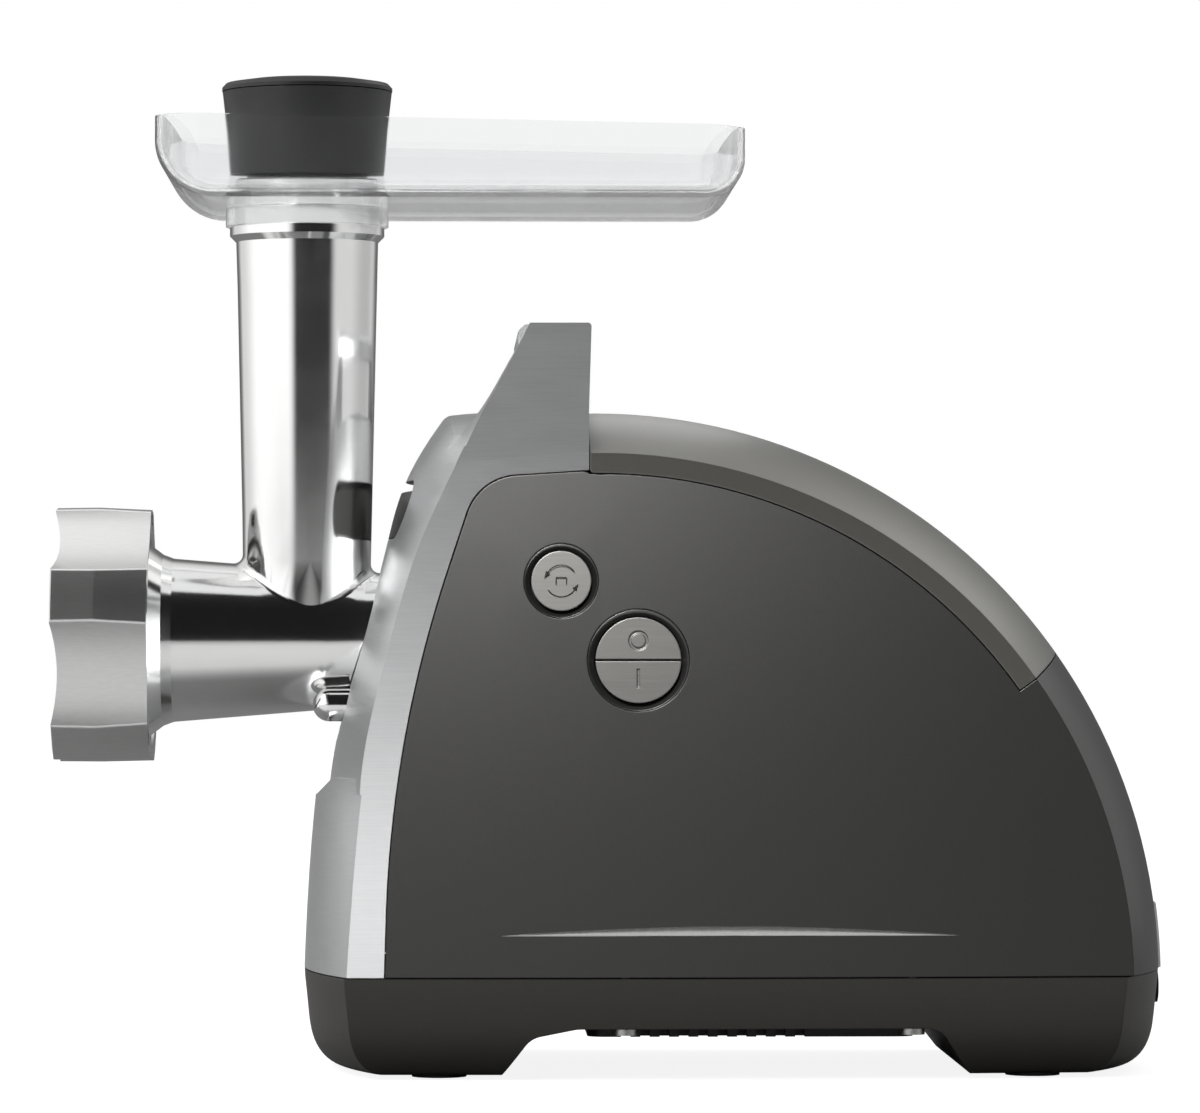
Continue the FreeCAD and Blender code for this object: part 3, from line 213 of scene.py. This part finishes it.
def add_light(name, place, target, size, power, only):
    data = bpy.data.lights.new(name, "AREA")
    data.shape = "RECTANGLE"
    data.size, data.size_y = size
    data.energy = power
    lamp = bpy.data.objects.new(name, data)
    scene.collection.objects.link(lamp)
    lamp.location = place
    lamp.rotation_euler = (Vector(target) - Vector(place)).to_track_quat("-Z", "Y").to_euler()
    if only:
        lit = bpy.data.collections.new(name + "_lit")
        for node_name in only:
            lit.objects.link(nodes[node_name])
        lamp.light_linking.receiver_collection = lit
    return lamp


def add_floor():
    mesh = bpy.data.meshes.new("floor")
    half, z = FLOOR_HALF, FLOOR_Z
    mesh.from_pydata([(-half, -half, z), (half, -half, z), (half, half, z), (-half, half, z)], [],
                     [(0, 1, 2, 3)])
    floor = bpy.data.objects.new("floor", mesh)
    scene.collection.objects.link(floor)
    mat = surface("floor_white", FLOOR_COLOUR, FLOOR_ROUGHNESS, noise=(4.0, 0.0, 0.0))
    tree = mat.node_tree
    principled = tree.nodes["Principled BSDF"]
    seen = seen_directly(tree)
    # For reflections only, the floor's colour is painted: painted shade underneath the object, painted light
    # ahead of it.
    ahead = soft_step(tree, coordinates(tree, "Object")["Y"], AHEAD_FROM, AHEAD_TO)
    shade = math_node(tree, "MULTIPLY_ADD", ahead, AHEAD_PAINTED_LIGHT, UNDER_PAINTED_SHADE)
    shade = math_node(tree, "MULTIPLY_ADD", seen, math_node(tree, "SUBTRACT", FLOOR_TONE, shade), shade)
    tree.links.new(shade, principled.inputs["Base Color"])
    glow = tree.nodes.new("ShaderNodeEmission")
    tree.links.new(math_node(tree, "MULTIPLY", seen, FLOOR_GLOW), glow.inputs["Strength"])
    both = tree.nodes.new("ShaderNodeAddShader")
    tree.links.new(principled.outputs[0], both.inputs[0])
    tree.links.new(glow.outputs[0], both.inputs[1])
    tree.links.new(both.outputs[0], tree.nodes["Material Output"].inputs["Surface"])
    mesh.materials.append(mat)


# ---- materials ---------------------------------------------------------------------------------
def surface(name, colour, roughness, metallic=0.0, coat=0.0, coat_rough=0.1, noise=(300.0, 0.05, 0.02),
            stretch=(1, 1, 1), tint=0.04, ior=1.5, transmission=0.0, edge_radius=0.0, alpha=1.0):
    """A material with fine grain in its colour, roughness and bump.

    noise is the grain's scale, its effect on roughness and its bump strength.
    stretch makes the grain run along an axis, as brushing does.
    """
    mat = bpy.data.materials.new(name)
    mat.use_nodes = True
    tree = mat.node_tree
    bsdf = tree.nodes["Principled BSDF"]
    bsdf.inputs["Metallic"].default_value = metallic
    bsdf.inputs["Coat Weight"].default_value = coat
    bsdf.inputs["Coat Roughness"].default_value = coat_rough
    bsdf.inputs["IOR"].default_value = ior
    bsdf.inputs["Transmission Weight"].default_value = transmission
    bsdf.inputs["Alpha"].default_value = alpha
    scale, rough_amount, bump_amount = noise
    coord = tree.nodes.new("ShaderNodeTexCoord")
    mapping = tree.nodes.new("ShaderNodeMapping")
    mapping.inputs["Scale"].default_value = stretch
    grain = tree.nodes.new("ShaderNodeTexNoise")
    grain.inputs["Scale"].default_value = scale
    grain.inputs["Detail"].default_value = GRAIN_DETAIL
    tree.links.new(coord.outputs["Object"], mapping.inputs[0])
    tree.links.new(mapping.outputs[0], grain.inputs["Vector"])
    ramp = tree.nodes.new("ShaderNodeValToRGB")
    ramp.color_ramp.elements[0].position = GRAIN_LOW
    ramp.color_ramp.elements[1].position = GRAIN_HIGH
    ramp.color_ramp.elements[0].color = [c * (1 - tint) for c in colour] + [1]
    ramp.color_ramp.elements[1].color = [min(c * (1 + tint), 1) for c in colour] + [1]
    tree.links.new(grain.outputs["Fac"], ramp.inputs[0])
    tree.links.new(ramp.outputs[0], bsdf.inputs["Base Color"])
    spread = tree.nodes.new("ShaderNodeMapRange")
    spread.inputs["To Min"].default_value = max(roughness - rough_amount, 0.0)
    spread.inputs["To Max"].default_value = roughness + rough_amount
    tree.links.new(grain.outputs["Fac"], spread.inputs["Value"])
    tree.links.new(spread.outputs["Result"], bsdf.inputs["Roughness"])
    edge = None
    if edge_radius:
        edge = tree.nodes.new("ShaderNodeBevel")
        edge.samples = BEVEL_SAMPLES
        edge.inputs["Radius"].default_value = edge_radius * MM
        tree.links.new(edge.outputs[0], bsdf.inputs["Normal"])
    if bump_amount:
        bump = tree.nodes.new("ShaderNodeBump")
        if edge:
            tree.links.new(edge.outputs[0], bump.inputs["Normal"])
        bump.inputs["Strength"].default_value = bump_amount
        bump.inputs["Distance"].default_value = BUMP_DISTANCE
        tree.links.new(grain.outputs["Fac"], bump.inputs["Height"])
        tree.links.new(bump.outputs[0], bsdf.inputs["Normal"])
    return mat


SURFACES = [
    # name, colour, roughness, the rest of the finish, the CAD nodes that have it
    ("side_paint", (0.029, 0.0288, 0.0278), 0.33,
     dict(metallic=0.8, coat=0.1, coat_rough=0.2, noise=(2500.0, 0.03, 0.02), tint=0.05, edge_radius=0.5),
     ["right_shell", "left_shell", "button_bezels"]),
    ("lid_paint", (0.2, 0.197, 0.181), 0.42,
     dict(metallic=0.7, coat=0.1, coat_rough=0.2, noise=(2500.0, 0.03, 0.02), edge_radius=0.6),
     ["storage_lid"]),
    ("base_plastic", (0.052, 0.05, 0.044), 0.4,
     dict(metallic=0.45, coat=0.1, noise=(1800.0, 0.05, 0.03), tint=0.06, edge_radius=0.6),
     ["base_tub", "storage_bin"]),
    ("frame_steel", (0.7, 0.705, 0.71), 0.34,
     dict(metallic=1.0, noise=(2600.0, 0.035, 0.03), stretch=(0.03, 0.03, 1.0), tint=0.035),
     ["front_frame"]),
    ("cast_head", (0.86, 0.86, 0.855), 0.12, dict(metallic=1.0, noise=(70.0, 0.02, 0.01), tint=0.02),
     ["head_body", "auger"]),
    ("nut_alloy", (0.74, 0.74, 0.735), 0.32,
     dict(metallic=1.0, noise=(1400.0, 0.04, 0.012), stretch=(0.2, 1, 1), tint=0.03),
     ["ring_nut"]),
    ("ground_steel", (0.55, 0.55, 0.55), 0.3,
     dict(metallic=1.0, noise=(500.0, 0.08, 0.1), stretch=(1, 0.1, 1), tint=0.08),
     ["hole_plate", "spare_plates", "cross_knife"]),
    ("machined_steel", (0.45, 0.45, 0.45), 0.32,
     dict(metallic=1.0, noise=(700.0, 0.08, 0.08), stretch=(2, 0.2, 0.2), tint=0.08),
     ["output_shaft", "drive_socket", "idler_pinion", "idler_pin", "motor_shaft", "plate_pin", "auger_tang",
      "hinge_pins", "lock_spring", "motor_cradle"]),
    ("zinc_steel", (0.5, 0.5, 0.47), 0.38, dict(metallic=1.0, noise=(900.0, 0.1, 0.05), tint=0.1),
     ["seam_screws", "base_screws", "vent_screws", "foot_screws", "gearbox_bolts"]),
    ("grip_plastic", (0.014, 0.014, 0.0145), 0.42, dict(noise=(1500.0, 0.05, 0.05), tint=0.06),
     ["pusher_stem", "pusher_cap"]),
    ("button_silver", (0.09, 0.088, 0.084), 0.36,
     dict(metallic=0.85, coat=0.1, noise=(2200.0, 0.03, 0.02), stretch=(0.03, 1, 1), tint=0.03,
          edge_radius=0.5),
     ["reverse_button", "stop_button", "start_button"]),
    ("lock_plastic", (0.03, 0.03, 0.028), 0.3, dict(coat=0.15, noise=(700.0, 0.04, 0.02)), ["lock_button"]),
    ("dark_inlay", (0.05, 0.05, 0.048), 0.5, dict(noise=(900.0, 0.05, 0.0)), []),
    ("black_plastic", (0.018, 0.018, 0.017), 0.45, dict(noise=(1500.0, 0.08, 0.08), tint=0.1),
     ["vent_plate", "cord_gland", "switch_block", "motor_bracket_front", "motor_bracket_rear",
      "cooling_fan"]),
    ("rubber", (0.014, 0.014, 0.014), 0.75, dict(noise=(900.0, 0.1, 0.2), tint=0.15), ["rubber_feet"]),
    ("gear_nylon", (0.72, 0.7, 0.63), 0.45, dict(noise=(400.0, 0.06, 0.05)), ["output_gear", "idler_wheel"]),
    ("gearbox_nylon", (0.06, 0.06, 0.062), 0.5, dict(noise=(900.0, 0.08, 0.1), tint=0.1),
     ["gearbox_case", "gearbox_cover", "head_socket"]),
    ("bronze", (0.55, 0.33, 0.14), 0.35, dict(metallic=1.0, noise=(900.0, 0.1, 0.1), tint=0.1),
     ["shaft_bushes", "head_bush", "motor_bearings", "brush_holders"]),
    ("copper", (0.62, 0.25, 0.11), 0.3,
     dict(metallic=1.0, noise=(900.0, 0.08, 0.3), stretch=(0.15, 2, 2), tint=0.15),
     ["field_coils", "armature_windings", "commutator"]),
    ("iron_laminations", (0.16, 0.16, 0.17), 0.45,
     dict(metallic=0.9, noise=(1500.0, 0.1, 0.4), stretch=(2, 0.02, 0.02), tint=0.2),
     ["motor_stator", "armature_core"]),
    ("carbon", (0.02, 0.02, 0.021), 0.6, dict(noise=(1200.0, 0.1, 0.2), tint=0.2), ["carbon_brushes"]),
    ("board", (0.03, 0.13, 0.05), 0.35, dict(coat=0.3, noise=(120.0, 0.08, 0.05), tint=0.25),
     ["control_board"]),
    # Silver for the rear plate, and the painted highlight of the side streak.
    ("trim_silver", (0.75, 0.75, 0.73), 0.3, dict(metallic=0.9, noise=(900.0, 0.05, 0.05), tint=0.05),
     ["rear_plate"]),
    ("clear_plastic", (0.88, 0.885, 0.89), 0.03,
     dict(ior=1.3, transmission=1.0, alpha=0.8, noise=(90.0, 0.015, 0.01), tint=0.005),
     ["hopper_tray"]),
]


def finish_materials():
    made = {}
    for name, colour, roughness, finish, node_names in SURFACES:
        made[name] = surface(name, colour, roughness, **finish)
        for node_name in node_names:
            mesh = nodes[node_name].data
            mesh.materials.clear()
            mesh.materials.append(made[name])
    return made


# ---- extra pieces ------------------------------------------------------------------------------
def dome_y(x, z):
    """The near side's surface at a point."""
    r = math.hypot(x - BODY.x, z - BODY.z)
    return -(HALF_WIDTH - DOME_R + math.sqrt(DOME_R**2 - r * r))


def new_piece(name, mesh, mat, body):
    obj = bpy.data.objects.new(name, mesh)
    scene.collection.objects.link(obj)
    mesh.materials.append(mat)
    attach(obj, body)


def ribbon(name, path, widths, proud, mat, body, side_y=None):
    """A thin raised band along a path of (x, z) points, on the domed side or on a flat face at side_y."""
    bm = bmesh.new()
    rows = []
    for k, (x, z) in enumerate(path):
        ahead = Vector(path[min(k + 1, len(path) - 1)]) - Vector(path[max(k - 1, 0)])
        normal = Vector((-ahead.y, ahead.x)).normalized()
        row = []
        for step, lift in RIBBON_SECTION:
            px, pz = x + normal.x * widths[k] * step, z + normal.y * widths[k] * step
            y = (dome_y(px, pz) if side_y is None else side_y) - proud * lift + ROOT
            row.append(bm.verts.new((px, y, pz)))
        rows.append(row)
    for a, b in zip(rows, rows[1:]):
        for k in range(3):
            bm.faces.new((a[k], a[k + 1], b[k + 1], b[k]))
    bmesh.ops.recalc_face_normals(bm, faces=bm.faces)
    mesh = bpy.data.meshes.new(name)
    bm.to_mesh(mesh)
    bm.free()
    for poly in mesh.polygons:
        poly.use_smooth = True
    new_piece(name, mesh, mat, body)


def arc_path(cx, cz, r, a0, a1, steps=24):
    angles = [math.radians(a0 + (a1 - a0) * k / steps) for k in range(steps + 1)]
    return [(cx + r * math.cos(angle), cz + r * math.sin(angle)) for angle in angles]


def add_painted_highlight():
    """A painted highlight low on the side: a thin light strip for the shine along a crease, bowed up a little
    and tapered to both ends.
    """
    path, widths = [], []
    for k in range(STREAK_STEPS + 1):
        t = k / STREAK_STEPS
        swell = math.sin(math.pi * t)
        path.append(((STREAK_X + STREAK_RUN * t) * MM, (STREAK_Z + STREAK_RISE * swell) * MM))
        widths.append(max(STREAK_HALF * swell ** STREAK_TAPER, STREAK_THINNEST) * MM)
    ribbon("side_painted_highlight", path, widths, STREAK_PROUD, mats["trim_silver"], "base")


def add_marks():
    """Two turning arrows round a square bracket on the reverse button."""
    low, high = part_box("reverse_button")
    cx, cz = (low.x + high.x) / 2, (low.z + high.z) / 2

    def mark(name, path, widths):
        ribbon(name, path, widths, MARK_PROUD, mats["dark_inlay"], "reverse", side_y=low.y)

    for k, start in enumerate(MARK_STARTS):
        sweep = arc_path(cx, cz, MARK_R, start, start + MARK_SWEEP)
        mark(f"turn_mark_{k + 1}", sweep, [MARK_LINE] * len(sweep))
        tip = Vector(sweep[-1])
        ahead = (tip - Vector(sweep[-4])).normalized() * ARROW_LENGTH
        head = [tip - ahead * ARROW_TAIL, tip, tip + ahead]
        mark(f"turn_head_{k + 1}", [tuple(p) for p in head], ARROW_WIDTHS)
    half, drop = BRACKET_HALF, BRACKET_DROP
    bracket = [(cx - half, cz - drop), (cx - half, cz + drop), (cx + half, cz + drop), (cx + half, cz - drop)]
    for k, (start, end) in enumerate(zip(bracket, bracket[1:])):
        mark(f"bracket_mark_{k + 1}", [start, end], [MARK_LINE] * 2)


add_camera()
add_world()
mats = finish_materials()
add_floor()
lamps = {light[0]: add_light(*light) for light in LIGHTS}
# Only key_shine may show as a reflection from the key's place, and it lights the frame alone.
lamps["key"].visible_glossy = False
add_painted_highlight()
add_marks()
